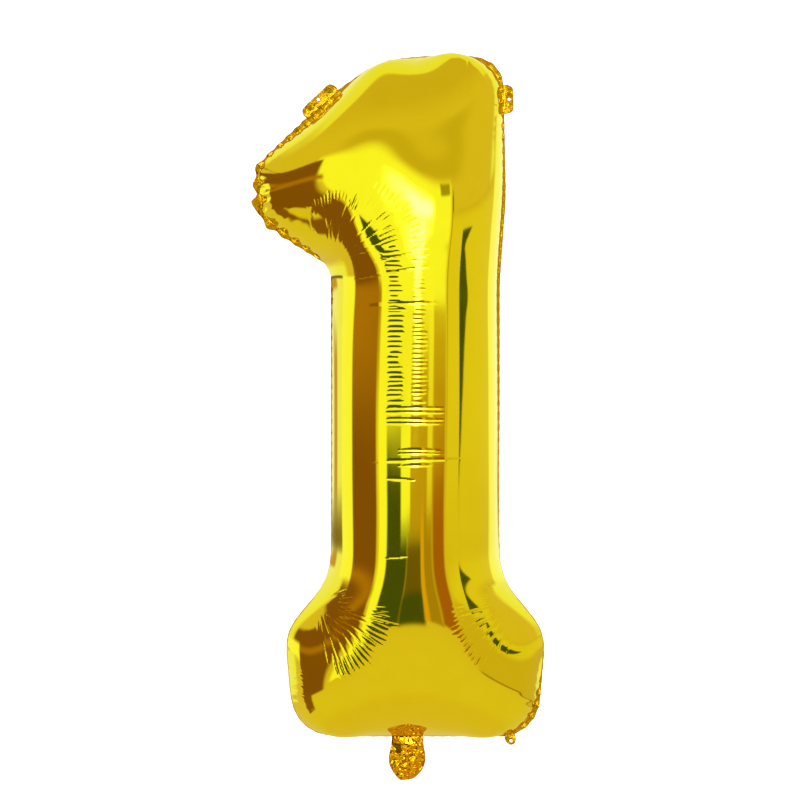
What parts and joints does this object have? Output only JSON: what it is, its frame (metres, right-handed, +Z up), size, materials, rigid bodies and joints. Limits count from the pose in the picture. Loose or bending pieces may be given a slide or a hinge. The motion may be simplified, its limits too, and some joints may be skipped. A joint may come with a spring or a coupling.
{
  "type": "foil number balloon",
  "caption": "Inflated metallised film balloon in the shape of the digit one, with a valve neck at the bottom and hanging tabs on its edge.",
  "frame": {"origin": "middle of the neck's root, on the balloon's bottom edge, where a ribbon is tied", "axes": "+Z up through the number, +X to the right seen from the front, -Y towards the front"},
  "size_m": [0.3775, 0.2084, 0.927],
  "materials": {
    "gold_foil": "mirror-bright metallised film, gold",
    "seam_foil": "welded double film, gold, crinkled",
    "valve_film": "clear soft film",
    "release_print": "matt printed layer"
  },
  "bodies": {
    "envelope": {"front_foil_panel": "gold_foil", "back_foil_panel": "gold_foil", "edge_seam": "seam_foil", "valve_root_front_film": "valve_film", "valve_root_back_film": "valve_film", "valve_release_print": "release_print"},
    "neck": {"neck_front_ply": "gold_foil", "neck_back_ply": "gold_foil", "valve_inlet_front_film": "valve_film", "valve_inlet_back_film": "valve_film"},
    "valve_front": {"valve_tongue_front_film": "valve_film"},
    "valve_back": {"valve_tongue_back_film": "valve_film"},
    "slope_tab": {"slope_hanging_tab": "seam_foil"},
    "head_tab": {"head_hanging_tab": "seam_foil"},
    "foot_tab": {"foot_hanging_tab": "seam_foil"}
  },
  "joints": [
    {"name": "neck_fold", "type": "hinge", "parent": "envelope", "child": "neck", "pos_m": [0, 0, 0], "axis": [1, 0, 0], "range_deg": [-90, 90]},
    {"name": "valve_sway", "type": "hinge", "parent": "envelope", "child": "valve_front", "pos_m": [0, 0, 0.0053], "axis": [1, 0, 0], "range_deg": [-20, 20], "stiffness_Nm_per_rad": 0.004},
    {"name": "valve_open", "type": "hinge", "parent": "valve_front", "child": "valve_back", "pos_m": [0, 0, 0.0053], "axis": [-1, 0, 0], "range_deg": [0, 10], "stiffness_Nm_per_rad": 0.004},
    {"name": "slope_tab_bend", "type": "hinge", "parent": "envelope", "child": "slope_tab", "pos_m": [-0.10986, 0, 0.81194], "axis": [0.7307, 0, 0.6827], "range_deg": [-75, 75], "stiffness_Nm_per_rad": 0.002},
    {"name": "head_tab_bend", "type": "hinge", "parent": "envelope", "child": "head_tab", "pos_m": [0.12374, 0, 0.81689], "axis": [0.0221, 0, -0.9998], "range_deg": [-75, 75], "stiffness_Nm_per_rad": 0.002},
    {"name": "foot_tab_bend", "type": "hinge", "parent": "envelope", "child": "foot_tab", "pos_m": [0.131, 0, 0.00154], "axis": [-0.9703, 0, -0.2419], "range_deg": [-75, 75], "stiffness_Nm_per_rad": 0.002}
  ]
}
